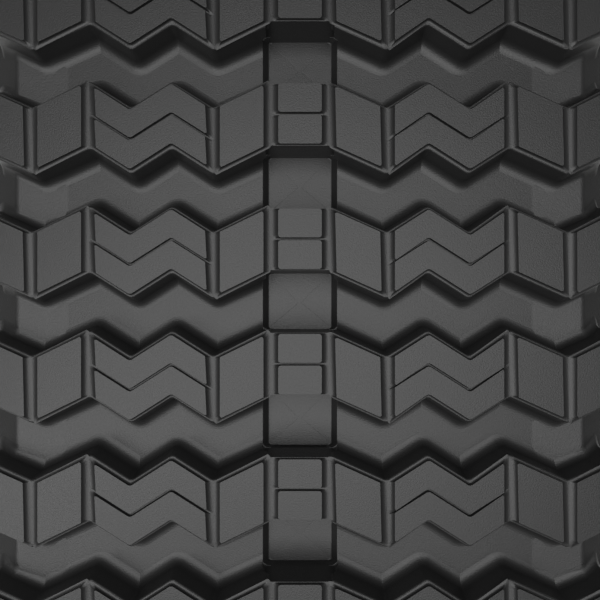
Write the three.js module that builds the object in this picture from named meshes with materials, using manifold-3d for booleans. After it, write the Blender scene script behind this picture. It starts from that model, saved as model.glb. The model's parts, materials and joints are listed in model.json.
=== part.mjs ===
// A stretch of steel-core rubber track, seven pitches long, laid flat with its tread up.
// Millimetres, +Z up, +Y along the track, +X across it. The origin is on the ground, at the
// middle of the stretch, and the guide horns stand on z = 0.
import * as THREE from "three";
import { mergeVertices } from "three/addons/utils/BufferGeometryUtils.js";
import Module from "manifold-3d";

const wasm = await Module();
wasm.setup();

// ---- Driving dimensions -------------------------------------------------------------------

// The track's format.
const WIDTH = 450;
const PITCH = 86;
const LINKS = 7;

// Heights, from the ground up.
const HORN_HEIGHT = 32;
const INNER_BELT = 14;
const CORD = 4;
const PLY = 0.8;
const OUTER_BELT = 6.3;
const TREAD = 25;
const PIT_DEPTH = 8;
const MEMBRANE = 6;

// Gap between pieces that touch.
const GAP = 0.3;

// The tread bar: a zigzag band with raised pads on it.
const BAR_WIDTH = 47;
const BAR_SWING = 18;
const BAR_LEAD = 9;
const CENTRE_STATION = 20;
const INNER_STATION = 60;
const OUTER_STATION = 145;
const END_STATION = 185;
const LEDGE = 2.7;
const PAD_STEP = 3.3;
const EDGE_DROP = 2.2;
const CHANNEL = 10;
const SIPE = 1.8;
const WALL_DRAFT = 2.6;
const FOOT_HEIGHT = 6;
const FOOT_REACH = 7;
const TIP_INSET = 2.5;
const TIP_DRAFT = 5;

// The pit through the tread between two bars.
const PIT_LENGTH = 41.3;
const PIT_HALF = 24;
const PIT_DRAFT_X = 0.4;
const PIT_DRAFT_Y = 0.034;

// The belt's shoulders and edges.
const SEAM_INSET = 54;
const SHOULDER_INSET = 20;
const SHOULDER_RISE = 3.5;
const RIM_INSET = 1;
const RIM_DROP = 6;
const RIM_CHAMFER = 4;

// The roller path, a raised strip on each side of the guide horns.
const PATH_INNER = 52;
const PATH_OUTER = 95;
const PATH_RAISE = 2.5;

// The forged core: two wings, a bridge for the sprocket's teeth, and two guide horns.
const WINDOW_HALF = 24;
const WING_SPAN = 130;
const WING_ROOT = 30;
const WING_TIP = 20;
const WING_THIN = 3;
const CORE_THICK = 10;
const BRIDGE_LENGTH = 24;
const BRIDGE_THICK = 12;
const BRIDGE_COVER = 2.7;
const HORN_CENTRE = 35;
const HORN_ROOT_X = 18;
const HORN_ROOT_Y = 34;
const HORN_TIP_X = 9;
const HORN_TIP_Y = 22;
const HORN_COVER = 2.5;

// Cords and plies.
const CORD_INNER = 35;
const CORD_EDGE = 28;
const PLY_MARGIN = 1;

// How far each flexure bends, in degrees, with a little room to spare.
const BEND_IN = 24;
const BEND_OUT = 8;
const BEND_SPARE = 1;

// ---- Heights and places that follow -------------------------------------------------------

const HALF_WIDTH = WIDTH / 2;
const HALF_PITCH = PITCH / 2;
const BELT_BOTTOM = HORN_HEIGHT;
const BELT_SPLIT = BELT_BOTTOM + INNER_BELT;
const CORD_BOTTOM = BELT_SPLIT + GAP;
const CORD_TOP = CORD_BOTTOM + CORD;
const PLY_BOTTOM = CORD_TOP + GAP;
const PLY_TOP = PLY_BOTTOM + PLY;
const COVER_BOTTOM = PLY_TOP + GAP;
const FLOOR = COVER_BOTTOM + OUTER_BELT;
const PAD_TOP = FLOOR + TREAD;
const SLAB_TOP = PAD_TOP - PAD_STEP;
const WALL_TOP = SLAB_TOP - EDGE_DROP;
const PIT_FLOOR = FLOOR - PIT_DEPTH;
const MEMBRANE_BOTTOM = PIT_FLOOR - MEMBRANE;
const AXIS_HEIGHT = (CORD_BOTTOM + CORD_TOP) / 2;
const CORE_TOP = BELT_SPLIT;
const CORE_BOTTOM = CORE_TOP - CORE_THICK;
const BRIDGE_BOTTOM = CORE_TOP - BRIDGE_THICK;
const SHOULDER = HALF_WIDTH - SHOULDER_INSET;
const SEAM = HALF_WIDTH - SEAM_INSET;
const RIM = HALF_WIDTH - RIM_INSET;
const RIM_TOP = FLOOR - RIM_DROP;
const CORD_OUTER = HALF_WIDTH - CORD_EDGE;
const FAR = WIDTH + LINKS * PITCH;

// ---- Solids -------------------------------------------------------------------------------

function solidOf(geometry) {
  const bare = new THREE.BufferGeometry();
  bare.setAttribute("position", geometry.getAttribute("position"));
  bare.setIndex(geometry.getIndex());
  const merged = mergeVertices(bare, 1e-4);
  return new wasm.Manifold(
    new wasm.Mesh({
      numProp: 3,
      vertProperties: new Float32Array(merged.getAttribute("position").array),
      triVerts: new Uint32Array(merged.getIndex().array),
    }),
  );
}

function geometryOf(solid) {
  const mesh = solid.getMesh();
  const geometry = new THREE.BufferGeometry();
  geometry.setAttribute("position", new THREE.BufferAttribute(mesh.vertProperties, 3));
  geometry.setIndex(new THREE.BufferAttribute(mesh.triVerts, 1));
  return geometry;
}

function joined(solids) {
  return solids.reduce((all, next) => all.add(next));
}

function extruded(points, depth) {
  const shape = new THREE.Shape(points.map(([a, b]) => new THREE.Vector2(a, b)));
  return new THREE.ExtrudeGeometry(shape, { depth, bevelEnabled: false });
}

// An (x, y) outline raised from one height to another.
function plate(points, low, high) {
  return solidOf(extruded(points, high - low).translate(0, 0, low));
}

// An (x, z) section drawn out along the track, from one y to another.
function sectionAlong(points, from, to) {
  const geometry = extruded(points, to - from);
  return solidOf(geometry.rotateX(Math.PI / 2).translate(0, to, 0));
}

// A (y, z) section drawn out across the whole track.
function sectionAcross(points) {
  const geometry = extruded(points, 2 * FAR);
  geometry.rotateX(Math.PI / 2).rotateZ(Math.PI / 2);
  return solidOf(geometry.translate(-FAR, 0, 0));
}

function box(x0, x1, y0, y1, z0, z1) {
  const corners = [
    [x0, y0],
    [x1, y0],
    [x1, y1],
    [x0, y1],
  ];
  return plate(corners, z0, z1);
}

// Rings of equal length, each { z, points }, skinned from the lowest to the highest.
function loft(rings) {
  const count = rings[0].points.length;
  const positions = rings.flatMap(({ z, points }) => points.flatMap(([x, y]) => [x, y, z]));
  const faces = [];
  for (let level = 0; level + 1 < rings.length; level += 1) {
    for (let i = 0; i < count; i += 1) {
      const a = level * count + i;
      const b = level * count + ((i + 1) % count);
      faces.push(a, b, b + count, a, b + count, a + count);
    }
  }
  const top = (rings.length - 1) * count;
  const capOf = ({ points }) => {
    const contour = points.map(([x, y]) => new THREE.Vector2(x, y));
    return THREE.ShapeUtils.triangulateShape(contour, []);
  };
  for (const [a, b, c] of capOf(rings[0])) faces.push(c, b, a);
  for (const [a, b, c] of capOf(rings.at(-1))) faces.push(top + a, top + b, top + c);
  const geometry = new THREE.BufferGeometry();
  geometry.setAttribute("position", new THREE.Float32BufferAttribute(positions, 3));
  geometry.setIndex(faces);
  return solidOf(geometry);
}

// A four-sided block whose length and breadth change between two heights.
function frustum(x, y, low, high) {
  const ring = ({ z, halfX, halfY }) => ({
    z,
    points: [
      [x - halfX, y - halfY],
      [x + halfX, y - halfY],
      [x + halfX, y + halfY],
      [x - halfX, y + halfY],
    ],
  });
  return loft([ring(low), ring(high)]);
}

function mirrored(points) {
  return points.map(([a, b]) => [-a, b]).reverse();
}

// ---- The zigzag ---------------------------------------------------------------------------

// The midline, left to right, about the middle of the centre block: level across the centre,
// then down, up and down again on each side, with two shorter swings under the W blocks.
function midline() {
  const third = (OUTER_STATION - INNER_STATION) / 3;
  const endDrop = BAR_SWING - (BAR_SWING * (HALF_WIDTH - END_STATION)) / (END_STATION - OUTER_STATION);
  const right = [
    [CENTRE_STATION, 0],
    [INNER_STATION, -BAR_SWING],
    [INNER_STATION + third, 0],
    [INNER_STATION + 2 * third, -BAR_SWING],
    [OUTER_STATION, 0],
    [END_STATION, -BAR_SWING],
    [HALF_WIDTH, -endDrop],
  ];
  return [...mirrored(right), ...right];
}

// A line moved sideways by a distance, to its left when the distance is positive, with its
// corners mitred and its ends kept where they are across the track.
function shifted(line, distance) {
  const sides = line.slice(1).map(([x, y], i) => {
    const [x0, y0] = line[i];
    const slope = (y - y0) / (x - x0);
    return { slope, base: y0 - slope * x0 + distance * Math.hypot(1, slope) };
  });
  const at = ({ slope, base }, x) => [x, base + slope * x];
  const first = at(sides[0], line[0][0]);
  const last = at(sides.at(-1), line.at(-1)[0]);
  const corners = sides.slice(1).map((side, i) => {
    const before = sides[i];
    const level = Math.abs(before.slope - side.slope) < 1e-9;
    const x = level ? line[i + 1][0] : (side.base - before.base) / (before.slope - side.slope);
    return at(side, x);
  });
  return [first, ...corners, last];
}

function raised(line, height) {
  return line.map(([x, y]) => [x, y + height]);
}

// The points of a line between two places across the track, with its ends cut or drawn out.
function span(line, x0, x1) {
  const heightAt = (x) => {
    const next = line.findIndex(([px], i) => i > 0 && (px >= x || i === line.length - 1));
    const [ax, ay] = line[next - 1];
    const [bx, by] = line[next];
    return ay + ((by - ay) * (x - ax)) / (bx - ax);
  };
  const inside = line.filter(([x]) => x > x0 && x < x1);
  return [[x0, heightAt(x0)], ...inside, [x1, heightAt(x1)]];
}

const MIDLINE = midline();
const UPPER_EDGE = raised(MIDLINE, BAR_WIDTH / 2);
const LOWER_EDGE = raised(MIDLINE, -BAR_WIDTH / 2);

// The band between two lines, closed as an outline.
function band(lower, upper, x0, x1) {
  return [...span(lower, x0, x1), ...span(upper, x0, x1).reverse()];
}

// ---- Tread bar ----------------------------------------------------------------------------

function barSlab() {
  const ring = (z, grow, tip) => ({
    z,
    points: band(shifted(LOWER_EDGE, -grow), shifted(UPPER_EDGE, grow), -tip, tip),
  });
  const foot = HALF_WIDTH - TIP_INSET;
  const shoulder = foot - TIP_DRAFT;
  return loft([
    ring(CORD_BOTTOM + GAP, FOOT_REACH, foot),
    ring(FLOOR + GAP, FOOT_REACH, foot),
    ring(FLOOR + FOOT_HEIGHT / 3, (FOOT_REACH + WALL_DRAFT) / 2, foot),
    ring(FLOOR + FOOT_HEIGHT, WALL_DRAFT, foot),
    ring(WALL_TOP, 0, shoulder),
    ring(SLAB_TOP, -LEDGE / 2, shoulder - LEDGE / 2),
  ]);
}

// Each pad as an outline: the lines it lies between and the places it runs between.
function padOutlines() {
  const lower = shifted(LOWER_EDGE, LEDGE);
  const upper = shifted(UPPER_EDGE, -LEDGE);
  const underSipe = shifted(MIDLINE, -SIPE / 2);
  const overSipe = shifted(MIDLINE, SIPE / 2);
  const wall = CHANNEL / 2;
  const tip = HALF_WIDTH - TIP_INSET - TIP_DRAFT - LEDGE;
  const centre = CENTRE_STATION - wall;
  const right = [
    band(lower, upper, CENTRE_STATION + wall, INNER_STATION - wall),
    band(lower, underSipe, INNER_STATION + wall, OUTER_STATION - wall),
    band(overSipe, upper, INNER_STATION + wall, OUTER_STATION - wall),
    band(lower, upper, OUTER_STATION + wall, END_STATION - wall),
    band(lower, upper, END_STATION + wall, tip),
  ];
  return [
    ...right,
    ...right.map(mirrored),
    band(lower, underSipe, -centre, centre),
    band(overSipe, upper, -centre, centre),
  ];
}

// The space of one pit, from its floor up past the pads.
function pitSpace(y) {
  const height = PAD_TOP - PIT_FLOOR + GAP;
  const sizeAt = (rise) => ({
    z: PIT_FLOOR + rise,
    halfX: PIT_HALF + rise * PIT_DRAFT_X,
    halfY: PIT_LENGTH / 2 + rise * PIT_DRAFT_Y,
  });
  const below = frustum(0, y, sizeAt(0), sizeAt(PIT_DEPTH));
  const above = sizeAt(height);
  above.halfX = PIT_HALF + PIT_DEPTH * PIT_DRAFT_X;
  return below.add(frustum(0, y, sizeAt(PIT_DEPTH), above));
}

// The pits ahead of and behind one link's centre block.
function pits() {
  return pitSpace(-HALF_PITCH).add(pitSpace(HALF_PITCH));
}

// What the tread bar sits on: the belt's outer face, from edge to edge, and all below it.
function ground(lift) {
  const right = [
    [SEAM, FLOOR + lift],
    [SHOULDER, FLOOR + SHOULDER_RISE + lift],
    [RIM, RIM_TOP + lift],
    [FAR, RIM_TOP + lift],
    [FAR, 0],
  ];
  return sectionAlong([...mirrored(right), ...right], -FAR, FAR);
}

function treadBar() {
  const pads = padOutlines().map((outline) => plate(outline, SLAB_TOP - GAP, PAD_TOP));
  const bar = joined([barSlab(), ...pads]);
  return bar.subtract(pits()).subtract(ground(GAP));
}

// ---- Where one link ends and the next begins -----------------------------------------------

// The room of one link along the track, leaning back from each flexure's axis above and below,
// so that the next link has room to turn. A free end is cut straight.
function cell(freeBehind, freeAhead) {
  const inward = Math.tan(THREE.MathUtils.degToRad(BEND_IN / 2 + BEND_SPARE));
  const outward = Math.tan(THREE.MathUtils.degToRad(BEND_OUT / 2 + BEND_SPARE));
  const over = PAD_TOP - AXIS_HEIGHT;
  const end = (free) =>
    free
      ? [
          [HALF_PITCH, 0],
          [HALF_PITCH, PAD_TOP],
        ]
      : [
          [HALF_PITCH - GAP - inward * AXIS_HEIGHT, 0],
          [HALF_PITCH - GAP, AXIS_HEIGHT],
          [HALF_PITCH - GAP - outward * over, PAD_TOP],
        ];
  return sectionAcross([...end(freeAhead), ...mirrored(end(freeBehind))]);
}

// ---- Belts, cords and plies -----------------------------------------------------------------

function outerBelt(room) {
  const keel = CORD_INNER - GAP;
  const rimBottom = CORD_BOTTOM;
  const right = [
    [keel, rimBottom],
    [keel, COVER_BOTTOM],
    [CORD_OUTER + GAP, COVER_BOTTOM],
    [CORD_OUTER + GAP, rimBottom],
    [RIM, rimBottom],
    [RIM, RIM_TOP],
    [SHOULDER, FLOOR + SHOULDER_RISE],
    [SEAM, FLOOR],
  ];
  const cover = sectionAlong([...mirrored(right).reverse(), ...right.slice().reverse()], -FAR, FAR);
  const half = WINDOW_HALF - GAP;
  const bridge = WING_ROOT / 2 + GAP;
  const membranes = [-1, 1].map((side) => {
    const near = BAR_LEAD + side * bridge;
    const far = side * PITCH;
    const bottom = MEMBRANE_BOTTOM;
    return box(-half, half, Math.min(near, far), Math.max(near, far), bottom, rimBottom + GAP);
  });
  const whole = joined([cover, ...membranes]);
  return whole.subtract(pits().translate(0, BAR_LEAD, 0)).intersect(room);
}

function innerBelt(room, core) {
  const inner = WINDOW_HALF + GAP;
  const right = [
    [inner, BELT_BOTTOM],
    [PATH_INNER - PATH_RAISE, BELT_BOTTOM],
    [PATH_INNER, BELT_BOTTOM - PATH_RAISE],
    [PATH_OUTER, BELT_BOTTOM - PATH_RAISE],
    [PATH_OUTER + PATH_RAISE, BELT_BOTTOM],
    [HALF_WIDTH - RIM_CHAMFER, BELT_BOTTOM],
    [HALF_WIDTH, BELT_BOTTOM + RIM_CHAMFER],
    [HALF_WIDTH, BELT_SPLIT - RIM_CHAMFER],
    [RIM, BELT_SPLIT],
    [inner, BELT_SPLIT],
  ];
  const strip = BRIDGE_LENGTH / 2;
  const stripTop = BRIDGE_BOTTOM - GAP;
  const pieces = [
    sectionAlong(right, -FAR, FAR),
    sectionAlong(mirrored(right), -FAR, FAR),
    box(-inner - 1, inner + 1, BAR_LEAD - strip, BAR_LEAD + strip, stripTop - BRIDGE_COVER, stripTop),
    ...[-1, 1].map((side) => horn(side, HORN_COVER, 0, CORE_BOTTOM)),
  ];
  return joined(pieces).intersect(room).subtract(core);
}

function cordBand(room, side) {
  const x0 = side > 0 ? CORD_INNER : -CORD_OUTER;
  const x1 = side > 0 ? CORD_OUTER : -CORD_INNER;
  return box(x0, x1, -FAR, FAR, CORD_BOTTOM, CORD_TOP).intersect(room);
}

function biasPly(room, side) {
  const low = CORD_INNER + PLY_MARGIN;
  const high = CORD_OUTER - PLY_MARGIN;
  const x0 = side > 0 ? low : -high;
  const x1 = side > 0 ? high : -low;
  return box(x0, x1, -FAR, FAR, PLY_BOTTOM, PLY_TOP).intersect(room);
}

// ---- Steel core -----------------------------------------------------------------------------

// One guide horn, grown by a cover's thickness, from its tip at a height up to its root.
function horn(side, cover, tip, root) {
  return frustum(
    side * HORN_CENTRE,
    BAR_LEAD,
    { z: tip, halfX: HORN_TIP_X / 2 + cover, halfY: HORN_TIP_Y / 2 + cover },
    { z: root, halfX: HORN_ROOT_X / 2 + cover, halfY: HORN_ROOT_Y / 2 + cover },
  );
}

// The core, grown all round by a gap when it is to cut its own pocket.
function steelCore(gap) {
  const top = CORE_TOP + (gap > 0 ? FAR : 0);
  const wide = WING_ROOT / 2 + gap;
  const narrow = WING_TIP / 2 + gap;
  const reach = WING_SPAN + gap;
  const planform = [
    [-reach, -narrow],
    [-WINDOW_HALF, -wide],
    [WINDOW_HALF, -wide],
    [reach, -narrow],
    [reach, narrow],
    [WINDOW_HALF, wide],
    [-WINDOW_HALF, wide],
    [-reach, narrow],
  ];
  const right = [
    [WINDOW_HALF, CORE_BOTTOM - gap],
    [reach, CORE_BOTTOM + WING_THIN - gap],
    [reach, top],
  ];
  const section = [...mirrored(right), ...right];
  const wings = plate(planform, 0, FAR).intersect(sectionAlong(section, -FAR, FAR));
  const half = BRIDGE_LENGTH / 2 + gap;
  const waist = [-1, 1].map((side) => {
    const edges = [side * half, side * PITCH].sort((a, b) => a - b);
    return box(gap - WINDOW_HALF, WINDOW_HALF - gap, edges[0], edges[1], 0, FAR);
  });
  const end = WINDOW_HALF + gap;
  const bridge = box(-end, end, -half, half, BRIDGE_BOTTOM - gap, top);
  const horns = [-1, 1].map((side) => {
    const root = CORE_TOP - CORE_THICK / 2 + gap;
    return horn(side, gap, HORN_COVER - gap, root).translate(0, -BAR_LEAD, 0);
  });
  const body = waist.reduce((solid, cut) => solid.subtract(cut), wings);
  return joined([body, bridge, ...horns]).translate(0, BAR_LEAD, 0);
}

// ---- Assembly -------------------------------------------------------------------------------

function material(color, roughness, metalness) {
  return new THREE.MeshStandardMaterial({ color, roughness, metalness });
}

const MATERIALS = {
  tread_bar: material(0x3b3b3b, 0.85, 0),
  outer_belt: material(0x363636, 0.88, 0),
  bias_ply: material(0x6d665a, 0.9, 0),
  cord_band: material(0x8a8578, 0.45, 0.8),
  steel_core: material(0x55534f, 0.55, 0.9),
  inner_belt: material(0x2e2e2e, 0.9, 0),
};

function addNode(parent, name, kind, solid) {
  const mesh = new THREE.Mesh(geometryOf(solid), MATERIALS[kind]);
  mesh.name = name;
  parent.add(mesh);
}

const group = new THREE.Group();
const core = steelCore(0);
const pocket = steelCore(GAP);
const bar = treadBar().translate(0, BAR_LEAD, 0);

for (let number = 1; number <= LINKS; number += 1) {
  const room = cell(number === 1, number === LINKS);
  const link = new THREE.Group();
  link.position.y = (number - (LINKS + 1) / 2) * PITCH;
  addNode(link, `tread_bar_${number}`, "tread_bar", bar.intersect(room));
  addNode(link, `outer_belt_${number}`, "outer_belt", outerBelt(room));
  addNode(link, `bias_ply_left_${number}`, "bias_ply", biasPly(room, -1));
  addNode(link, `bias_ply_right_${number}`, "bias_ply", biasPly(room, 1));
  addNode(link, `cord_band_left_${number}`, "cord_band", cordBand(room, -1));
  addNode(link, `cord_band_right_${number}`, "cord_band", cordBand(room, 1));
  addNode(link, `steel_core_${number}`, "steel_core", core);
  addNode(link, `inner_belt_${number}`, "inner_belt", innerBelt(room, pocket));
  group.add(link);
}

export default group;
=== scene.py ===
"""The looks of a stretch of steel-core rubber track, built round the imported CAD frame.

Lengths are millimetres in the part's frame until a mesh is made, which turns them into metres.
A link's own pieces are shaped about the middle of its pitch, where y is 0.
"""

import json
import math

import bmesh
import bpy
import numpy as np
from mathutils import Matrix, Vector

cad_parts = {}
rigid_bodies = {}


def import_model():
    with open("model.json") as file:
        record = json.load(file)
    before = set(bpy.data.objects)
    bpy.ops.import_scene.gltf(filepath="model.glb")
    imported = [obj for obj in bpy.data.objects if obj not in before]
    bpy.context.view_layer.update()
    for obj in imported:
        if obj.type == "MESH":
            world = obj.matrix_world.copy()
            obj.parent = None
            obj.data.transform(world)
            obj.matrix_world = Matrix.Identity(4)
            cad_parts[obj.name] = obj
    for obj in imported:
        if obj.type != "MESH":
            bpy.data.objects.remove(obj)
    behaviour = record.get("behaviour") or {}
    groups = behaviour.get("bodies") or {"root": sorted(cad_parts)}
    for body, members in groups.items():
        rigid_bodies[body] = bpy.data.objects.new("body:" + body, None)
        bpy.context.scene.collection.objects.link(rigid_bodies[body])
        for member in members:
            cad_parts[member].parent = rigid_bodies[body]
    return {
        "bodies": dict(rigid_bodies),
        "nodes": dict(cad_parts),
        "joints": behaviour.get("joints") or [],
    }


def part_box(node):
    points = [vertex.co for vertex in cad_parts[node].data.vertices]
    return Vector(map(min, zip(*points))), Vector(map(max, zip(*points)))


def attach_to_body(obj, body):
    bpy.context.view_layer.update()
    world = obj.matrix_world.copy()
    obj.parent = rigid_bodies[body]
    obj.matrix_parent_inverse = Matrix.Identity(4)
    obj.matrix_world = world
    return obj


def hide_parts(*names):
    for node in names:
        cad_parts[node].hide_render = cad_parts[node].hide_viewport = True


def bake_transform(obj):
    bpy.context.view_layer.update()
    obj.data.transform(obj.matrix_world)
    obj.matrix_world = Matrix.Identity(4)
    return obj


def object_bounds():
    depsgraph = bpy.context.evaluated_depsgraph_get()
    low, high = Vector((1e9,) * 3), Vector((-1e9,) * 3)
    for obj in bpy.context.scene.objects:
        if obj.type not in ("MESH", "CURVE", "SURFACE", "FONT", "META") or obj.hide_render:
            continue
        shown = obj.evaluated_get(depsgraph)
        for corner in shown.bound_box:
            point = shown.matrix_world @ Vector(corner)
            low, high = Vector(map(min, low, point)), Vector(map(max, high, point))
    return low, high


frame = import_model()
CAD_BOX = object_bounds()
NODES = frame["nodes"]

MM = 0.001

# ---- Sizes that the frame gives -------------------------------------------------------------


def box_mm(node):
    low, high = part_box(node)
    return low / MM, high / MM


HINGES = sorted(joint["pos_m"][1] / MM for joint in frame["joints"])
LINKS = len(frame["bodies"])
PITCH = HINGES[1] - HINGES[0]
HALF_PITCH = PITCH / 2
HALF_WIDTH = CAD_BOX[1].x / MM
PAD_TOP = CAD_BOX[1].z / MM
CORD_BOTTOM = box_mm("cord_band_left_1")[0].z
CORD_TOP = box_mm("cord_band_left_1")[1].z
CORD_INNER = box_mm("cord_band_right_1")[0].x
CORD_OUTER = box_mm("cord_band_right_1")[1].x
PLY_BOTTOM = box_mm("bias_ply_left_1")[0].z
PLY_TOP = box_mm("bias_ply_left_1")[1].z
MEMBRANE_BOTTOM = box_mm("outer_belt_2")[0].z
CORE_TOP = box_mm("steel_core_1")[1].z

# ---- Sizes of the rubber, as in the CAD source ------------------------------------------------

FLOOR = PAD_TOP - 25.0
SLAB_TOP = PAD_TOP - 3.3
WALL_TOP = SLAB_TOP - 1.7
PIT_FLOOR = FLOOR - 8.0
BELT_BOTTOM = 32.0
BELT_SPLIT = CORE_TOP
GAP = 0.3
COVER_BOTTOM = PLY_TOP + GAP

BAR_HALF = 23.5
BAR_SWING = 18.0
BAR_LEAD = 9.0
CENTRE_STATION = 20.0
INNER_STATION = 60.0
OUTER_STATION = 145.0
END_STATION = 185.0
TIP = 217.5
LEDGE = 2.7
CHANNEL = 10.0
SIPE = 1.8
WALL_DRAFT = math.radians(8)
FOOT_RADIUS = 7.5
FOOT_STEPS = 8
FOOT_SHARE = 0.15
CORNER_RADIUS = 4.2
LEDGE_INNER = 4.2
LEDGE_LIP = 1.7
LIP_STEPS = 5
LIP_TURN = 82
TIP_SPREAD = 2.0

PAD_HEIGHT = PAD_TOP - SLAB_TOP
PAD_SINK = 0.35
EDGE_ROUND = 0.14
COVE_LEVELS = 9
LEDGE_COVE = 1.8
CHANNEL_COVE = 4.85
SIPE_COVE = 0.7
PIT_COVE = 0.4
KEEN_CORNER = 2.0
BLUNT_CORNER = 0.6
BEND_RADIUS = 3.0

PIT_HALF = 24.0
PIT_HALF_LENGTH = 20.65
PIT_FLARE = 3.2
PIT_END_DRAFT = 0.034
PIT_CORNER = 2.4
CREASE_HALF = 0.35
CREASE_DEPTH = 0.1

SEAM = HALF_WIDTH - 54.0
SHOULDER = HALF_WIDTH - 20.0
SHOULDER_RISE = 3.5
SHOULDER_BEND = 2.2
LINE_HALF = 0.6
LINE_RISE = 0.35
RIM = HALF_WIDTH - 1.0
RIM_TOP = FLOOR - 6.0

PATH_INNER = 52.0
PATH_OUTER = 95.0
PATH_RAISE = 2.5
WINDOW_HALF = 24.0
HORN_CENTRE = 35.0
BRIDGE_HALF = 12.0
BRIDGE_TOP = CORE_TOP - 12.3
BRIDGE_ROUND = 1.2
BRIDGE_SPREAD = 1.6
CORE_HALF = 15.2
RIGID_BEHIND = BAR_LEAD - 22.0
RIGID_AHEAD = BAR_LEAD + 22.0
FLEX_ZONE = 8.0
FLEX_STEPS = 8
FLEX_GROOVE = 1.6
FLEX_GROOVE_HALF = 3.5

CORD_PITCH = 5.4
CORD_RADIUS = 1.75
CORD_SIDE = 0.3
WIRES = 6
WIRE_LAY = 40
STRAND_LENGTH = 14
BEDDING_START = 0.5
BEDDING_LENGTH = 10


def link_centre(number):
    """Where a link's middle lies along the track."""
    return (number - (LINKS + 1) / 2) * PITCH


# ---- Meshes -----------------------------------------------------------------------------------


def facing_out(points, faces):
    """The faces, turned over if they enclose a negative volume."""
    at = [Vector(point) for point in points]
    volume = 0.0
    for face in faces:
        first = at[face[0]]
        volume += sum(first.dot(at[b].cross(at[c])) for b, c in zip(face[1:], face[2:]))
    return faces if volume > 0 else [face[::-1] for face in faces]


def mesh_object(name, shells, material, shift=0.0):
    """One object from closed shells, each (points, faces), in mm, moved along the track."""
    points, faces = [], []
    for shell_points, shell_faces in shells:
        base = len(points)
        points.extend((x * MM, (y + shift) * MM, z * MM) for x, y, z in shell_points)
        turned = facing_out(shell_points, shell_faces)
        faces.extend(tuple(base + i for i in face) for face in turned)
    mesh = bpy.data.meshes.new(name)
    mesh.from_pydata(points, [], faces)
    mesh.materials.append(material)
    work = bmesh.new()
    work.from_mesh(mesh)
    bmesh.ops.remove_doubles(work, verts=work.verts, dist=0.002 * MM)
    bmesh.ops.dissolve_degenerate(work, edges=work.edges, dist=0.002 * MM)
    work.to_mesh(mesh)
    work.free()
    made = bpy.data.objects.new(name, mesh)
    bpy.context.scene.collection.objects.link(made)
    return made


def smooth(made, angle=38):
    """Smooth shading that keeps flats flat and edges over an angle sharp."""
    mesh = made.data
    mesh.shade_smooth()
    work = bmesh.new()
    work.from_mesh(mesh)
    limit = math.radians(angle)
    for edge in work.edges:
        edge.smooth = len(edge.link_faces) == 2 and edge.calc_face_angle(0) < limit
    work.to_mesh(mesh)
    work.free()
    weighted = made.modifiers.new("flat_faces_stay_flat", "WEIGHTED_NORMAL")
    weighted.keep_sharp = True
    return made


def skinned(rings):
    """A closed shell over rings of equal length, in order, with flat caps at both ends."""
    count = len(rings[0])
    points = [point for ring in rings for point in ring]
    faces = [tuple(reversed(range(count)))]
    for level in range(len(rings) - 1):
        start = level * count
        for i in range(count):
            j = (i + 1) % count
            faces.append((start + i, start + j, start + count + j, start + count + i))
    last = (len(rings) - 1) * count
    faces.append(tuple(range(last, last + count)))
    return points, faces


# ---- Outlines ---------------------------------------------------------------------------------


def unit(a, b):
    length = math.hypot(b[0] - a[0], b[1] - a[1])
    return (b[0] - a[0]) / length, (b[1] - a[1]) / length


def grown(corners, grows, radii, steps):
    """An anticlockwise outline whose edges have moved out by their own distances.

    grows[i] is for the edge from corner i to the next one. A corner is rounded to its radius,
    which grows with the outline where the corner points out and shrinks where it points in.
    steps[i] is the number of pieces in its arc, and 0 keeps a plain point.
    """
    count = len(corners)
    out = []
    for i, corner in enumerate(corners):
        before = unit(corners[i - 1], corner)
        after = unit(corner, corners[(i + 1) % count])
        grow_before, grow_after = grows[i - 1], grows[i]
        turn = math.asin(max(-1.0, min(1.0, before[0] * after[1] - before[1] * after[0])))
        if steps[i] == 0 or abs(turn) < 1e-4:
            x = corner[0] + after[1] * grow_after
            y = corner[1] - after[0] * grow_after
            if abs(after[0]) > 1e-6:
                y -= (x - corner[0]) * after[1] / after[0]
                x = corner[0]
            out.append((x, y))
            continue
        det = before[0] * after[1] - before[1] * after[0]
        mitre_x = corner[0] + (before[0] * grow_after - after[0] * grow_before) / det
        mitre_y = corner[1] + (before[1] * grow_after - after[1] * grow_before) / det
        inward = min(grow_before, grow_after) if turn > 0 else -min(grow_before, grow_after)
        radius = max(0.12, radii[i] + inward)
        reach = radius * math.tan(abs(turn) / 2)
        side = 1 if turn > 0 else -1
        start_x = mitre_x - before[0] * reach
        start_y = mitre_y - before[1] * reach
        hub_x = start_x - before[1] * radius * side
        hub_y = start_y + before[0] * radius * side
        angle = math.atan2(start_y - hub_y, start_x - hub_x)
        for k in range(steps[i] + 1):
            a = angle + turn * k / steps[i]
            out.append((hub_x + radius * math.cos(a), hub_y + radius * math.sin(a)))
    return out


def mirrored(points):
    return [(-x, y) for x, y in reversed(points)]


def midline():
    """The zigzag's middle, left to right, about the middle of the centre block."""
    third = (OUTER_STATION - INNER_STATION) / 3
    slope = BAR_SWING / (END_STATION - OUTER_STATION)
    right = [
        (CENTRE_STATION, 0.0),
        (INNER_STATION, -BAR_SWING),
        (INNER_STATION + third, 0.0),
        (INNER_STATION + 2 * third, -BAR_SWING),
        (OUTER_STATION, 0.0),
        (END_STATION, -BAR_SWING),
        (TIP, -BAR_SWING + slope * (TIP - END_STATION)),
    ]
    return mirrored(right) + right


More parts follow.
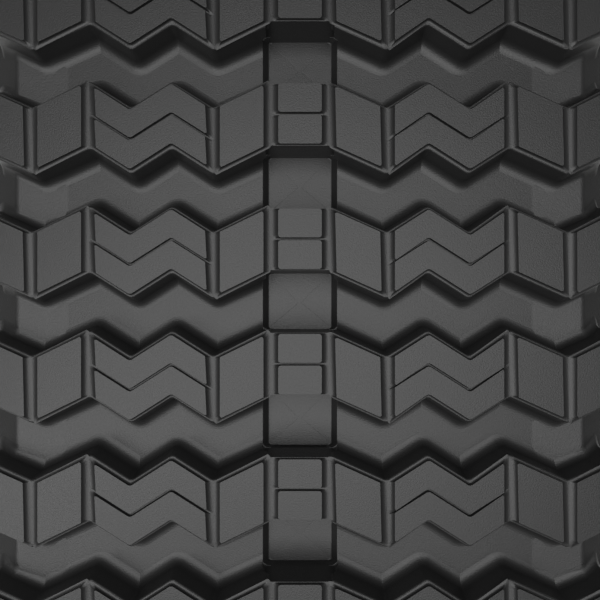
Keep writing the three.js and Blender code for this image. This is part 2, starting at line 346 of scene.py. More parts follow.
def sideways(line, distance):
    """A line moved to its left by a distance, with mitred corners and its end places kept."""
    sides = []
    for (x0, y0), (x1, y1) in zip(line, line[1:]):
        slope = (y1 - y0) / (x1 - x0)
        sides.append((slope, y0 - slope * x0 + distance * math.hypot(1, slope)))
    moved = [(line[0][0], sides[0][1] + sides[0][0] * line[0][0])]
    for (slope_a, base_a), (slope_b, base_b), (x, _) in zip(sides, sides[1:], line[1:]):
        if abs(slope_a - slope_b) > 1e-9:
            x = (base_b - base_a) / (slope_a - slope_b)
        moved.append((x, base_b + slope_b * x))
    moved.append((line[-1][0], sides[-1][1] + sides[-1][0] * line[-1][0]))
    return moved


def height_at(line, x):
    return float(np.interp(x, [p[0] for p in line], [p[1] for p in line]))


def between(line, x0, x1):
    """The points of a line from one place across the track to another."""
    inside = [p for p in line if x0 + 1e-6 < p[0] < x1 - 1e-6]
    return [(x0, height_at(line, x0)), *inside, (x1, height_at(line, x1))]


MIDLINE = midline()
UPPER_EDGE = [(x, y + BAR_HALF) for x, y in MIDLINE]
LOWER_EDGE = [(x, y - BAR_HALF) for x, y in MIDLINE]


# ---- The belt's outer face ---------------------------------------------------------------------


def belt_height(x):
    """How far the belt's outer face stands above the groove floor: shoulders, then the rim."""
    x = abs(x)
    if x <= SEAM:
        return 0.0
    if x <= SHOULDER:
        return SHOULDER_RISE * (x - SEAM) / (SHOULDER - SEAM)
    fall = (FLOOR + SHOULDER_RISE - RIM_TOP) / (RIM - SHOULDER)
    return SHOULDER_RISE - fall * (min(x, RIM) - SHOULDER)


def rounded_bend(x, z, slope_in, slope_out, half):
    """Points that ease one slope into another about a bend."""
    points = []
    for k in range(-2, 3):
        d = half * k / 2
        ease = (slope_in - slope_out) * (d * d + half * half) / (4 * half)
        points.append((x + d, z + d * (slope_in + slope_out) / 2 - ease))
    return points


# ---- Tread bar -----------------------------------------------------------------------------------


def slab_levels():
    """(distance out, height, share of the belt's rise) down the side of a bar's base slab."""
    levels = [(-LEDGE_INNER, SLAB_TOP, 0.0), (-LEDGE_LIP, SLAB_TOP, 0.0)]
    edge = SLAB_TOP - WALL_TOP
    for k in range(1, LIP_STEPS + 1):
        a = math.radians(k * LIP_TURN / LIP_STEPS)
        levels.append((-LEDGE_LIP + edge * math.sin(a), SLAB_TOP - edge * (1 - math.cos(a)), 0.0))
    top_out, top_z, _ = levels[-1]
    foot_out = top_out + (top_z - FLOOR) * math.tan(WALL_DRAFT)
    reach = FOOT_RADIUS / math.tan((math.pi / 2 + WALL_DRAFT) / 2)
    start_out = foot_out - reach * math.sin(WALL_DRAFT)
    start_z = FLOOR + reach * math.cos(WALL_DRAFT)
    levels.append((start_out, start_z, FOOT_SHARE))
    hub_out = foot_out + reach
    hub_z = FLOOR + FOOT_RADIUS
    for k in range(1, FOOT_STEPS + 1):
        a = math.pi - WALL_DRAFT + (math.pi / 2 + WALL_DRAFT) * k / FOOT_STEPS
        share = FOOT_SHARE + (1 - FOOT_SHARE) * k / FOOT_STEPS
        levels.append((hub_out + FOOT_RADIUS * math.cos(a), hub_z + FOOT_RADIUS * math.sin(a), share))
    return levels


def bar_corners():
    """The base slab's outline, with its corners' radii and arc steps."""
    extra = [SEAM + d for d in (-3, -LINE_HALF, LINE_HALF, 3)]
    extra += [SHOULDER + d for d in (-SHOULDER_BEND, 0, SHOULDER_BEND)]
    places = sorted([-x for x in extra] + extra)
    lower, upper = [], []
    for line, out in ((LOWER_EDGE, lower), (UPPER_EDGE, upper)):
        marks = [(x, y, True) for x, y in line]
        known = [x for x, _ in line]
        for x in places:
            if min(abs(x - k) for k in known) > 1.0 and abs(x) < TIP:
                marks.append((x, height_at(line, x), False))
        out.extend(sorted(marks))
    return lower + upper[::-1]


def slab_shell():
    """A bar's base slab, from its ledge down its walls to a foot inside the belt."""
    marks = bar_corners()
    corners = [(x, y) for x, y, _ in marks]
    count = len(corners)
    radii = [CORNER_RADIUS] * count
    steps = [6 if bend else 0 for _, _, bend in marks]
    ends = [abs(corners[i][0] - corners[(i + 1) % count][0]) < 1e-6 for i in range(count)]
    rings = []
    for out, z, share in slab_levels():
        tip_out = min(out, 0) if out < 0 else TIP_SPREAD * (WALL_TOP - z) / (WALL_TOP - CORD_BOTTOM)
        grows = [tip_out if end else out for end in ends]
        outline = grown(corners, grows, radii, steps)
        rings.append([(x, y + BAR_LEAD, z + share * belt_height(x)) for x, y in outline])
    rings.append([(x, y, CORD_BOTTOM + GAP) for x, y, _ in rings[-1]])
    return skinned(rings[::-1])


def cove(reach, rise):
    """How far a pad's side has come out where it is still a given height above its foot.

    A long reach makes one arc that meets the slab level. A short one makes a wall on an arc.
    """
    tall = PAD_HEIGHT - EDGE_ROUND
    radius = (reach**2 + tall**2) / (2 * tall) if reach > tall else reach
    if rise >= radius:
        return 0.0
    return reach - math.sqrt(radius**2 - (radius - rise) ** 2)


def pad_shell(corners, reaches, radii):
    """One pad: a crisp top edge, and sides that run out to each edge's own reach."""
    count = len(corners)
    steps = [5] * count
    levels = [(PAD_TOP, [-EDGE_ROUND] * count), (PAD_TOP - EDGE_ROUND * 0.3, [-EDGE_ROUND * 0.3] * count)]
    for k in range(COVE_LEVELS + 1):
        rise = (PAD_HEIGHT - EDGE_ROUND) * (1 - k / COVE_LEVELS) ** 2
        levels.append((SLAB_TOP + rise, [cove(reach, rise) for reach in reaches]))
    rings = [[(x, y, z) for x, y in grown(corners, grows, radii, steps)] for z, grows in levels]
    rings.append([(x, y, SLAB_TOP - PAD_SINK) for x, y, _ in rings[-1]])
    return skinned([[(x, y + BAR_LEAD, z) for x, y, z in ring] for ring in rings[::-1]])


def pad(lower, upper, x0, x1, low_reach, high_reach, left_reach, right_reach):
    """A pad between two lines, from one place across the track to another."""
    low = between(lower, x0, x1)
    high = between(upper, x0, x1)[::-1]
    reaches = [low_reach] * (len(low) - 1) + [right_reach]
    reaches += [high_reach] * (len(high) - 1) + [left_reach]
    radii = []
    for line, side in ((low, 1), (high, -1)):
        start_blunt = side * unit(line[0], line[1])[1] < -0.05
        stop_blunt = side * unit(line[-2], line[-1])[1] > 0.05
        radii.append(BLUNT_CORNER if start_blunt else KEEN_CORNER)
        radii += [BEND_RADIUS] * (len(line) - 2)
        radii.append(BLUNT_CORNER if stop_blunt else KEEN_CORNER)
    return pad_shell(low + high, reaches, radii)


def pad_shells():
    """The twelve pads of one bar."""
    lower = sideways(LOWER_EDGE, LEDGE)
    upper = sideways(UPPER_EDGE, -LEDGE)
    under = sideways(MIDLINE, -SIPE / 2)
    over = sideways(MIDLINE, SIPE / 2)
    wall = CHANNEL / 2
    rows = [
        (lower, upper, CENTRE_STATION + wall, INNER_STATION - wall, LEDGE_COVE, LEDGE_COVE),
        (lower, under, INNER_STATION + wall, OUTER_STATION - wall, LEDGE_COVE, SIPE_COVE),
        (over, upper, INNER_STATION + wall, OUTER_STATION - wall, SIPE_COVE, LEDGE_COVE),
        (lower, upper, OUTER_STATION + wall, END_STATION - wall, LEDGE_COVE, LEDGE_COVE),
    ]
    shells = []
    for low, high, x0, x1, low_reach, high_reach in rows:
        reaches = (low_reach, high_reach, CHANNEL_COVE, CHANNEL_COVE)
        shells.append(pad(low, high, x0, x1, *reaches))
        shells.append(pad(low, high, -x1, -x0, *reaches))
    tip = TIP - LEDGE
    ends = (LEDGE_COVE, LEDGE_COVE)
    shells.append(pad(lower, upper, END_STATION + wall, tip, *ends, CHANNEL_COVE, LEDGE_COVE))
    shells.append(pad(lower, upper, -tip, -END_STATION - wall, *ends, LEDGE_COVE, CHANNEL_COVE))
    centre = CENTRE_STATION - wall
    sides = (CHANNEL_COVE, CHANNEL_COVE)
    shells.append(pad(lower, under, -centre, centre, PIT_COVE, SIPE_COVE, *sides))
    shells.append(pad(over, upper, -centre, centre, SIPE_COVE, PIT_COVE, *sides))
    return shells


def rounded_box(half_x, half_y, radius, steps=5):
    corners = [(-half_x, -half_y), (half_x, -half_y), (half_x, half_y), (-half_x, half_y)]
    return grown(corners, [0.0] * 4, [radius] * 4, [steps] * 4)


def pit_cutter(y):
    """The pit's space above the groove floor, which trims the feet of the bars beside it."""
    levels = [
        (BELT_SPLIT - 1, PIT_FLARE),
        (FLOOR + 8, PIT_FLARE),
        (FLOOR + 12, 0.0),
        (PAD_TOP + 2, 0.0),
    ]
    rings = []
    for z, flare in levels:
        half_y = PIT_HALF_LENGTH + PIT_END_DRAFT * (z - PIT_FLOOR)
        outline = rounded_box(PIT_HALF + flare, half_y, PIT_CORNER)
        rings.append([(px, py + y, z) for px, py in outline])
    return skinned(rings)


def tread_bar_mesh(material):
    """One bar as a mesh: its slab with the pits cut from it, and its pads."""
    slab = mesh_object("slab", [slab_shell()], material)
    cutters = [pit_cutter(BAR_LEAD - HALF_PITCH), pit_cutter(BAR_LEAD + HALF_PITCH)]
    tool = mesh_object("pit_tool", cutters, material)
    cut = slab.modifiers.new("pits", "BOOLEAN")
    cut.operation = "DIFFERENCE"
    cut.solver = "MANIFOLD"
    cut.object = tool
    evaluated = slab.evaluated_get(bpy.context.evaluated_depsgraph_get())
    trimmed = bpy.data.meshes.new_from_object(evaluated)
    bpy.data.objects.remove(slab)
    bpy.data.objects.remove(tool)
    work = bmesh.new()
    work.from_mesh(trimmed)
    pads = mesh_object("pads", pad_shells(), material)
    work.from_mesh(pads.data)
    bpy.data.objects.remove(pads)
    mesh = bpy.data.meshes.new("tread_bar")
    work.to_mesh(mesh)
    work.free()
    mesh.materials.clear()
    mesh.materials.append(material)
    return mesh


def make_tread_bars(material):
    """Seven bars from one mesh, each on its own link."""
    template = tread_bar_mesh(material)
    for number in range(1, LINKS + 1):
        name = f"moulded_bar_{number}"
        mesh = template.copy()
        mesh.transform(matrix_along(link_centre(number)))
        made = bpy.data.objects.new(name, mesh)
        bpy.context.scene.collection.objects.link(made)
        smooth(made)
        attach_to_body(made, f"link_{number}")
        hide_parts(f"tread_bar_{number}")


def matrix_along(y):
    return Matrix.Translation((0, y * MM, 0))


# ---- Belt skins ------------------------------------------------------------------------------------


def pit_half_at(y):
    """Half the pit's floor width at a distance along it from its middle."""
    past = abs(y) - (PIT_HALF_LENGTH - PIT_CORNER)
    if past <= 0:
        return PIT_HALF
    past = min(past, PIT_CORNER)
    return PIT_HALF - PIT_CORNER + math.sqrt(PIT_CORNER**2 - past**2)


def outer_section(y, pit_y):
    """The outer belt's section at y: its top from left to right, then its underside back."""
    along = y - pit_y
    end = PIT_HALF_LENGTH + PIT_END_DRAFT * (FLOOR - PIT_FLOOR)
    depth = max(0.0, min(1.0, (end - abs(along)) / (end - PIT_HALF_LENGTH)))
    half = pit_half_at(along)
    flare = PIT_FLARE * min(1.0, max(0.0, (PIT_HALF_LENGTH - abs(along)) / PIT_CORNER)) ** 0.5
    hip = min(1.0, abs(along) / PIT_HALF_LENGTH)
    crease = min(half - 2.0, max(CREASE_HALF, half * hip))
    deep = FLOOR - PIT_FLOOR
    pit = [
        (0.0, deep),
        (crease - CREASE_HALF, deep),
        (crease, deep + CREASE_DEPTH),
        (crease + CREASE_HALF, deep),
        (half - 1.4, deep),
        (half - 0.7, deep - 0.15),
        (half - 0.1, deep - 0.7),
        (half + 0.2, deep - 1.5),
        (half + flare - 0.5, 0.8),
        (half + flare - 0.1, 0.2),
        (half + flare + 0.6, 0.0),
    ]
    top = [(x, FLOOR - depth * drop) for x, drop in pit]
    plain = [(60.0, FLOOR), (110.0, FLOOR), (SEAM - 2.5, FLOOR)]
    rise = SHOULDER_RISE / (SHOULDER - SEAM)
    seam = [(SEAM - LINE_HALF, FLOOR), (SEAM + LINE_HALF, FLOOR + LINE_RISE), (SEAM + 8, FLOOR + rise * 8)]
    high = FLOOR + SHOULDER_RISE
    fall = (high - RIM_TOP) / (RIM - SHOULDER)
    shoulder = rounded_bend(SHOULDER, high, rise, -fall, SHOULDER_BEND)
    shoulder += [(RIM - 1.4, RIM_TOP + fall * 1.4), (RIM - 0.6, RIM_TOP), (RIM - 0.1, RIM_TOP - 0.9)]
    shoulder += [(RIM, RIM_TOP - 2.0)]
    right = top + plain + seam + shoulder
    in_core = abs((y - BAR_LEAD + HALF_PITCH) % PITCH - HALF_PITCH) < CORE_HALF
    deep_bottom = CORD_BOTTOM if in_core else MEMBRANE_BOTTOM
    under = [
        (RIM, CORD_BOTTOM),
        (CORD_OUTER + GAP, CORD_BOTTOM),
        (CORD_OUTER + GAP, COVER_BOTTOM),
        (CORD_INNER - GAP, COVER_BOTTOM),
        (CORD_INNER - GAP, CORD_BOTTOM),
        (WINDOW_HALF - GAP, CORD_BOTTOM),
        (WINDOW_HALF - GAP - 0.02, deep_bottom),
    ]
    left_top = [(-x, z) for x, z in right[:0:-1]]
    left_under = [(-x, z) for x, z in under[::-1]]
    return left_top + right + under + left_under


def stations(start, stop, marks, step, hinge):
    """Places along the track: the marks, close steps round a hinge, and wide ones elsewhere."""
    found = {round(start, 4), round(stop, 4)}
    found.update(round(m, 4) for m in marks if start < m < stop)
    if hinge is not None:
        for k in range(-FLEX_STEPS, FLEX_STEPS + 1):
            found.add(round(hinge + FLEX_ZONE * k / FLEX_STEPS, 4))
    base = sorted(found)
    for a, b in zip(base, base[1:]):
        parts = max(1, round((b - a) / step))
        found.update(round(a + (b - a) * k / parts, 4) for k in range(1, parts))
    kept = []
    for y in sorted(found):
        if start <= y <= stop and (not kept or y - kept[-1] > 0.04):
            kept.append(y)
    return kept


def pit_marks(pit_y):
    """Where the outer belt's section changes along a pit."""
    end = PIT_HALF_LENGTH + PIT_END_DRAFT * (FLOOR - PIT_FLOOR)
    corner = PIT_HALF_LENGTH - PIT_CORNER
    away = [end, PIT_HALF_LENGTH]
    away += [corner + PIT_CORNER * math.sin(math.radians(a)) for a in (0, 25, 50, 70, 82)]
    return [pit_y + side * d for side in (-1, 1) for d in away]


def core_marks():
    """Where the outer belt's underside steps over each core."""
    reaches = [side * (CORE_HALF + d) for side in (-1, 1) for d in (-0.05, 0.05)]
    return [BAR_LEAD + k * PITCH + reach for k in (-1, 0, 1) for reach in reaches]


def drawn(section, places):
    """A shell drawn through sections at places along the track."""
    return skinned([[(x, y, z) for x, z in section(y)] for y in places])


def spans():
    """Each stretch of belt: its name, its ends, its link and the next one, if it spans a hinge.

    The ends are measured from the middle of its first link.
    """
    found = [("tail", -HALF_PITCH, 0.0, 1, None)]
    found += [(f"{k}_{k + 1}", 0.0, PITCH, k, k + 1) for k in range(1, LINKS)]
    return found + [("head", 0.0, HALF_PITCH, LINKS, None)]


def attach(made, first, second):
    """Rides on its link, or, across the hinge between two, has its place baked into its mesh."""
    if second is None:
        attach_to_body(made, f"link_{first}")
    else:
        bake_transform(made)


def make_outer_belt(material):
    """The outer cover, whose middle stretches each span one hinge."""
    for name, start, stop, first, second in spans():
        pit_y = BAR_LEAD + HALF_PITCH if stop > 0 else BAR_LEAD - HALF_PITCH
        hinge = HALF_PITCH if second else None
        places = stations(start, stop, pit_marks(pit_y) + core_marks(), 9.0, hinge)
        shell = drawn(lambda y, at=pit_y: outer_section(y, at), places)
        made = mesh_object(f"outer_cover_{name}", [shell], material, link_centre(first))
        smooth(made)
        attach(made, first, second)
        if second is None or first == 1:
            continue
        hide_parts(f"outer_belt_{first}")
    stand_in(("outer_cover_tail", "outer_cover_head"), ("outer_belt_1", f"outer_belt_{LINKS}"))


def stand_in(pieces, nodes):
    """Hides the node that each piece takes the place of."""
    for piece, node in zip(pieces, nodes):
        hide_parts(node)


# ---- Inner belt --------------------------------------------------------------------------------------


def arc(x, z, radius, start, stop, steps=4):
    """Points on an arc about (x, z), between two angles in degrees."""
    angles = [math.radians(start + (stop - start) * k / steps) for k in range(steps + 1)]
    return [(x + radius * math.cos(a), z + radius * math.sin(a)) for a in angles]


def slab_section(lift):
    """The right-hand half of the roller side, with its face lifted where it flexes."""
    inner = WINDOW_HALF + GAP
    face = BELT_BOTTOM + lift
    path = BELT_BOTTOM - PATH_RAISE + lift
    points = arc(inner + 2, face + 2, 2, 180, 270)
    points += [(PATH_INNER - PATH_RAISE - 0.8, face), (PATH_INNER - PATH_RAISE + 0.5, face - 0.4)]
    points += [(PATH_INNER - 0.5, path + 0.3), (PATH_INNER + 0.9, path)]
    points += [(PATH_OUTER - 0.9, path), (PATH_OUTER + 0.5, path + 0.3)]
    points += [(PATH_OUTER + PATH_RAISE - 0.5, face - 0.4), (PATH_OUTER + PATH_RAISE + 0.8, face)]
    points += [(HALF_WIDTH - 26, face), (HALF_WIDTH - 24.5, face - 0.8), (HALF_WIDTH - 14, face - 0.8)]
    points += [(HALF_WIDTH - 12.5, face)]
    points += arc(HALF_WIDTH - 5, face + 5, 5, 270, 360)
    points += arc(HALF_WIDTH - 3, BELT_SPLIT - 5, 3, 0, 60)
    points += [(RIM, BELT_SPLIT), (inner, BELT_SPLIT)]
    return points


def flex_lift(y, hinge):
    """A shallow groove across the roller side at each hinge line."""
    if hinge is None:
        return 0.0
    return FLEX_GROOVE * math.exp(-(((y - hinge) / FLEX_GROOVE_HALF) ** 2))


def both_sides(section):
    """A section and its mirror image, both anticlockwise."""
    return section, [(-x, z) for x, z in reversed(section)]


def belt_sides(places, hinge):
    shells = []
    for side in (0, 1):
        shells.append(drawn(lambda y, s=side: both_sides(slab_section(flex_lift(y, hinge)))[s], places))
    return shells


def horn_shell(side):
    """A guide horn's rubber cover, flared where it leaves the belt and rounded at its tip."""
    rings = []
    levels = [(BELT_BOTTOM + 2, 4.5), (BELT_BOTTOM, 4.2), (BELT_BOTTOM - 0.8, 2.4)]
    levels += [(BELT_BOTTOM - 2.2, 1.0), (BELT_BOTTOM - 4.5, 0.2), (BELT_BOTTOM - 7, 0.0)]
    levels += [(3.2, 0.0), (1.6, -0.5), (0.6, -1.3), (0.1, -2.4), (0.0, -3.6)]
    for z, out in levels:
        share = z / (CORE_TOP - 10)
        half_x = 7.0 + 4.5 * share + out
        half_y = 13.5 + 6.0 * share + out
        outline = rounded_box(half_x, half_y, min(5.0, half_x - 0.5), 6)
        rings.append([(x + side * HORN_CENTRE, y + BAR_LEAD, z) for x, y in outline])
    return skinned(rings)


def bridge_cover():
    """The rubber that runs under the core's bridge and joins the belt's two sides."""
    low, high = BELT_BOTTOM - 1, BRIDGE_TOP
    radius = BRIDGE_ROUND
    right = [WINDOW_HALF + d for d in (-2, 1, 6)]
    rings = []
    for x in [-x for x in right[::-1]] + right:
        spread = BRIDGE_SPREAD if abs(x) > WINDOW_HALF else 0.0
        half = BRIDGE_HALF + spread
        section = arc(-half + radius, low + radius, radius, 180, 270)
        section += arc(half - radius, low + radius, radius, 270, 360)
        section += [(half, high), (-half, high)]
        rings.append([(x, y + BAR_LEAD, z) for y, z in section])
    return skinned(rings)


def make_inner_belt(material):
    """The roller side: a stiff stretch over each core, and one across the hinge between two."""
    for number in range(1, LINKS + 1):
        start = -HALF_PITCH if number == 1 else RIGID_BEHIND
        stop = HALF_PITCH if number == LINKS else RIGID_AHEAD
        places = stations(start, stop, [], 11.0, None)
        shells = belt_sides(places, None)
        shells += [horn_shell(-1), horn_shell(1), bridge_cover()]
        made = mesh_object(f"roller_side_{number}", shells, material, link_centre(number))
        smooth(made)
        attach(made, number, None)
        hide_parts(f"inner_belt_{number}")
    for number in range(1, LINKS):
        places = stations(RIGID_AHEAD, RIGID_BEHIND + PITCH, [], 6.0, HALF_PITCH)
        shells = belt_sides(places, HALF_PITCH)
        made = mesh_object(f"roller_side_flex_{number}_{number + 1}", shells, material, link_centre(number))
        smooth(made)
        attach(made, number, number + 1)


# ---- Cords and plies --------------------------------------------------------------------------------


def cord_places():
    """Where the cords lie across the track, on both sides."""
    room = CORD_OUTER - CORD_INNER - 2 * CORD_RADIUS - 2 * CORD_SIDE
    count = int(room / CORD_PITCH) + 1
    first = CORD_INNER + CORD_SIDE + CORD_RADIUS
    right = [first + room * k / (count - 1) for k in range(count)]
    return [-x for x in reversed(right)] + right


def tube(x, z, radius, places, sides=8):
    """A round bar along the track."""
    turns = [2 * math.pi * k / sides for k in range(sides)]
    return skinned(
        [[(x + radius * math.cos(a), y, z - radius * math.sin(a)) for a in turns] for y in places]
    )


def strand(x, z, start, stop):
    """A stranded cord's cut end: six wires laid round one."""
    wire = CORD_RADIUS / 3
    places = [start + (stop - start) * k / 6 for k in range(7)]
    shells = [tube(x, z, wire, places, 8)]
    lay = 2 * math.pi / WIRE_LAY
    for k in range(WIRES):
        rings = []
        for y in places:
            a = 2 * math.pi * k / WIRES + lay * (y - start)
            hub_x, hub_z = x + 2 * wire * math.cos(a), z + 2 * wire * math.sin(a)
            turns = [2 * math.pi * j / 8 for j in range(8)]
            rings.append([(hub_x + wire * math.cos(t), y, hub_z - wire * math.sin(t)) for t in turns])
        shells.append(skinned(rings))
    return shells


def strip(x0, x1, z0, z1, places):
    corners = [(x0, z0), (x0, z1), (x1, z1), (x1, z0)]
    return skinned([[(x, y, z) for x, z in corners] for y in places])


def make_cords(steel, rubber, cloth):
    """The cords and plies of each stretch, and the rubber round the cut cord ends."""
    height = (CORD_BOTTOM + CORD_TOP) / 2
    for name, start, stop, first, second in spans():
        hinge = HALF_PITCH if second else None
        places = stations(start, stop, [], 12.0, hinge)
        shells = []
        for x in cord_places():
            if name == "tail":
                joint = start + STRAND_LENGTH
                shells += strand(x, height, start, joint)
                shells.append(tube(x, height, CORD_RADIUS, [joint, stop]))
            elif name == "head":
                joint = stop - STRAND_LENGTH
                shells.append(tube(x, height, CORD_RADIUS, [start, joint]))
                shells += strand(x, height, joint, stop)
            else:
                shells.append(tube(x, height, CORD_RADIUS, places, 6))
        made = mesh_object(f"cord_run_{name}", shells, steel, link_centre(first))
        smooth(made)
        attach(made, first, second)
        plies = [
            strip(side * (CORD_INNER + 1), side * (CORD_OUTER - 1), PLY_BOTTOM, PLY_TOP, places)
            for side in (-1, 1)
        ]
        sheet = mesh_object(f"bias_ply_run_{name}", plies, cloth, link_centre(first))
        attach(sheet, first, second)
    for name, low, high, first in (
        ("tail", -HALF_PITCH + BEDDING_START, -HALF_PITCH + BEDDING_LENGTH, 1),
        ("head", HALF_PITCH - BEDDING_LENGTH, HALF_PITCH - BEDDING_START, LINKS),
    ):
        inner, outer, bottom = CORD_INNER - 0.2, CORD_OUTER + 0.2, CORD_BOTTOM - 0.2
        bands = [strip(side * inner, side * outer, bottom, PLY_BOTTOM, [low, high]) for side in (-1, 1)]
        made = mesh_object(f"cord_bedding_{name}", bands, rubber, link_centre(first))
        attach(made, first, None)
    for number in range(1, LINKS + 1):
        name = "tail" if number == 1 else "head" if number == LINKS else f"{number}_{number + 1}"
        cords = (f"cord_band_left_{number}", f"cord_band_right_{number}")
        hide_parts(*cords)
        sheets = (f"bias_ply_left_{number}", f"bias_ply_right_{number}")
        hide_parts(*sheets)


# ---- Steel cores --------------------------------------------------------------------------------------


def make_cores(material):
    """Each core as forged: the CAD solid with its flats joined and its edges rounded."""
    for number in range(1, LINKS + 1):
        node = f"steel_core_{number}"
        work = bmesh.new()
        work.from_mesh(NODES[node].data)
        bmesh.ops.remove_doubles(work, verts=work.verts, dist=0.01 * MM)
        limit = math.radians(1)
        bmesh.ops.dissolve_limit(work, angle_limit=limit, verts=work.verts, edges=work.edges)
        mesh = bpy.data.meshes.new(f"forged_core_{number}")
        work.to_mesh(mesh)
        work.free()
        mesh.materials.append(material)
        made = bpy.data.objects.new(f"forged_core_{number}", mesh)
        bpy.context.scene.collection.objects.link(made)
        bevel = made.modifiers.new("forged_edges", "BEVEL")
        bevel.width = 0.9 * MM
        bevel.segments = 3
        bevel.limit_method = "ANGLE"
        bevel.angle_limit = math.radians(25)
        mesh.shade_smooth()
        weighted = made.modifiers.new("flat_faces_stay_flat", "WEIGHTED_NORMAL")
        weighted.keep_sharp = True
        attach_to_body(made, f"link_{number}")
        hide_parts(node)


# ---- Materials ----------------------------------------------------------------------------------------


class Shader:
    """A material's nodes, wired by name."""

    def __init__(self, name):
        self.material = bpy.data.materials.new(name)
        self.material.use_nodes = True
        self.nodes = self.material.node_tree.nodes
        self.links = self.material.node_tree.links
        self.surface = self.nodes["Principled BSDF"]
        self.place = self.nodes.new("ShaderNodeTexCoord").outputs["Object"]

    def noise(self, size_mm, detail=2.0, roughness=0.5):
        node = self.nodes.new("ShaderNodeTexNoise")
        node.inputs["Scale"].default_value = 1 / (size_mm * MM)
        node.inputs["Detail"].default_value = detail
        node.inputs["Roughness"].default_value = roughness
        self.links.new(self.place, node.inputs["Vector"])
        return node.outputs["Fac"]

    def ramp(self, source, low, high, start=0.3, stop=0.7):
        node = self.nodes.new("ShaderNodeMapRange")
        node.inputs["From Min"].default_value = start
        node.inputs["From Max"].default_value = stop
        node.inputs["To Min"].default_value = low
        node.inputs["To Max"].default_value = high
        self.links.new(source, node.inputs["Value"])
        return node.outputs["Result"]

    def colours(self, source, stops):
        node = self.nodes.new("ShaderNodeValToRGB")
        ramp = node.color_ramp
        while len(ramp.elements) < len(stops):
            ramp.elements.new(0.5)
        for element, (place, colour) in zip(ramp.elements, stops):
            element.position = place
            element.color = (*colour, 1)
        self.links.new(source, node.inputs["Fac"])
        return node.outputs["Color"]

    def bump(self, layers):
        """Layers of (source, depth in mm), one over another."""
        normal = None
        for source, depth in layers:
            node = self.nodes.new("ShaderNodeBump")
            node.inputs["Strength"].default_value = 1.0
            node.inputs["Distance"].default_value = depth * MM
            self.links.new(source, node.inputs["Height"])
            if normal:
                self.links.new(normal, node.inputs["Normal"])
            normal = node.outputs["Normal"]
        self.links.new(normal, self.surface.inputs["Normal"])

    def feed(self, name, source):
        self.links.new(source, self.surface.inputs[name])


RUBBER_BLACK = 0.014
RUBBER_ROUGHNESS = 0.45
GRAIN_SIZE = 1.0
GRAIN_DEPTH = 0.17


def rubber(name):
    """Moulded black rubber with a fine even grain."""
    shader = Shader(name)
    shader.surface.inputs["Base Color"].default_value = (RUBBER_BLACK, RUBBER_BLACK, RUBBER_BLACK, 1)
    grain = shader.noise(GRAIN_SIZE, 2, 0.6)
    shader.feed("Roughness", shader.ramp(grain, RUBBER_ROUGHNESS - 0.05, RUBBER_ROUGHNESS + 0.05))
    shader.surface.inputs["Specular IOR Level"].default_value = 0.5
    shader.bump([(grain, GRAIN_DEPTH)])
    return shader.material


def forged_steel():
    shader = Shader("forged_core_steel")
    scale = shader.noise(5, 5, 0.65)
    stops = [(0.35, (0.035, 0.03, 0.027)), (0.55, (0.11, 0.1, 0.09)), (0.75, (0.22, 0.2, 0.18))]
    shader.feed("Base Color", shader.colours(scale, stops))
    shader.feed("Roughness", shader.ramp(shader.noise(3, 3), 0.42, 0.65))
    shader.surface.inputs["Metallic"].default_value = 0.9
    shader.bump([(scale, 0.12), (shader.noise(0.9, 2), 0.03)])
    return shader.material


def cord_steel():
    shader = Shader("brass_washed_wire")
    tint = shader.noise(1.5, 3)
    stops = [(0.35, (0.28, 0.2, 0.1)), (0.65, (0.6, 0.47, 0.27))]
    shader.feed("Base Color", shader.colours(tint, stops))
    shader.feed("Roughness", shader.ramp(shader.noise(0.8, 2), 0.25, 0.45))
    shader.surface.inputs["Metallic"].default_value = 1.0
    shader.bump([(shader.noise(0.4, 2), 0.01)])
    return shader.material


def ply_cloth():
    shader = Shader("rubbered_cord_fabric")
    wave = shader.nodes.new("ShaderNodeTexWave")
    wave.inputs["Scale"].default_value = 1 / (1.2 * MM) / 6.3
    wave.bands_direction = "DIAGONAL"
    shader.links.new(shader.place, wave.inputs["Vector"])
    stops = [(0.3, (0.1, 0.08, 0.055)), (0.7, (0.3, 0.25, 0.17))]
    shader.feed("Base Color", shader.colours(wave.outputs["Fac"], stops))
    shader.feed("Roughness", shader.ramp(shader.noise(0.7, 2), 0.8, 0.95))
    shader.bump([(wave.outputs["Fac"], 0.15), (shader.noise(0.5, 2), 0.05)])
    return shader.material


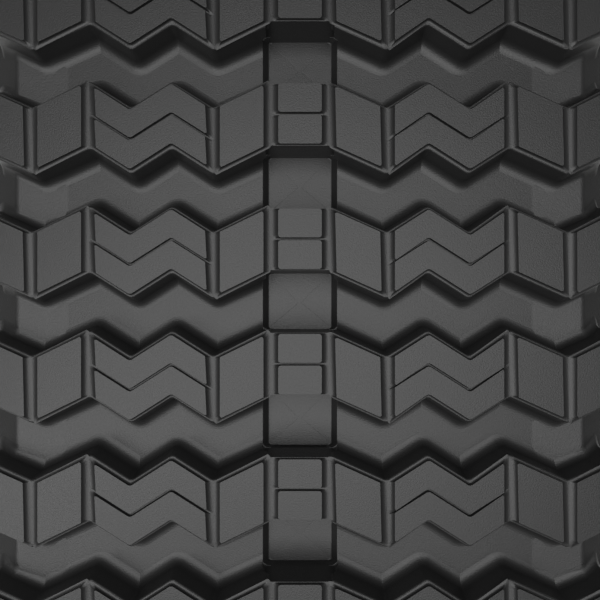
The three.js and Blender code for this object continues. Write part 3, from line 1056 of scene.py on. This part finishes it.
# ---- Floor, lights and camera ---------------------------------------------------------------------------

LENS = 33.2
CAMERA_HEIGHT = 379.0
LOOK_Y = -33.0


def make_camera():
    data = bpy.data.cameras.new("camera")
    data.lens = LENS
    data.sensor_width = 36
    data.clip_start = 0.01
    camera = bpy.data.objects.new("camera", data)
    camera.location = (0, LOOK_Y * MM, (PAD_TOP + CAMERA_HEIGHT) * MM)
    bpy.context.scene.collection.objects.link(camera)
    bpy.context.scene.camera = camera


def area_light(name, place, target, size, power):
    data = bpy.data.lights.new(name, "AREA")
    data.shape = "DISK"
    data.size = size
    data.energy = power
    light = bpy.data.objects.new(name, data)
    light.location = place
    aim = Vector(target) - Vector(place)
    light.rotation_mode = "QUATERNION"
    light.rotation_quaternion = aim.to_track_quat("-Z", "Y")
    bpy.context.scene.collection.objects.link(light)


def make_lights():
    area_light("overhead", (-0.08, -0.16, 1.28), (-0.08, -0.1601, 0), 1.7, 22.0)
    area_light("key", (-1.0, -0.7, 1.28), (0, -0.03, 0.08), 0.5, 5.5)
    world = bpy.data.worlds.new("studio")
    world.use_nodes = True
    background = world.node_tree.nodes["Background"]
    background.inputs["Color"].default_value = (1, 1, 1, 1)
    background.inputs["Strength"].default_value = 0.1
    bpy.context.scene.world = world
    bpy.context.scene.view_settings.view_transform = "Standard"


def make_floor():
    bpy.ops.mesh.primitive_plane_add(size=6, location=(0, 0, -0.0002))
    floor = bpy.context.object
    floor.name = "floor"
    material = bpy.data.materials.new("pale_floor")
    material.use_nodes = True
    surface = material.node_tree.nodes["Principled BSDF"]
    surface.inputs["Base Color"].default_value = (0.62, 0.62, 0.61, 1)
    surface.inputs["Roughness"].default_value = 0.8
    floor.data.materials.append(material)


# ---- The scene ------------------------------------------------------------------------------------------


make_camera()
make_lights()
make_floor()
tread = rubber("moulded_tread_rubber")
belt = rubber("moulded_belt_rubber")
make_tread_bars(tread)
make_outer_belt(belt)
make_inner_belt(belt)
make_cords(cord_steel(), belt, ply_cloth())
make_cores(forged_steel())
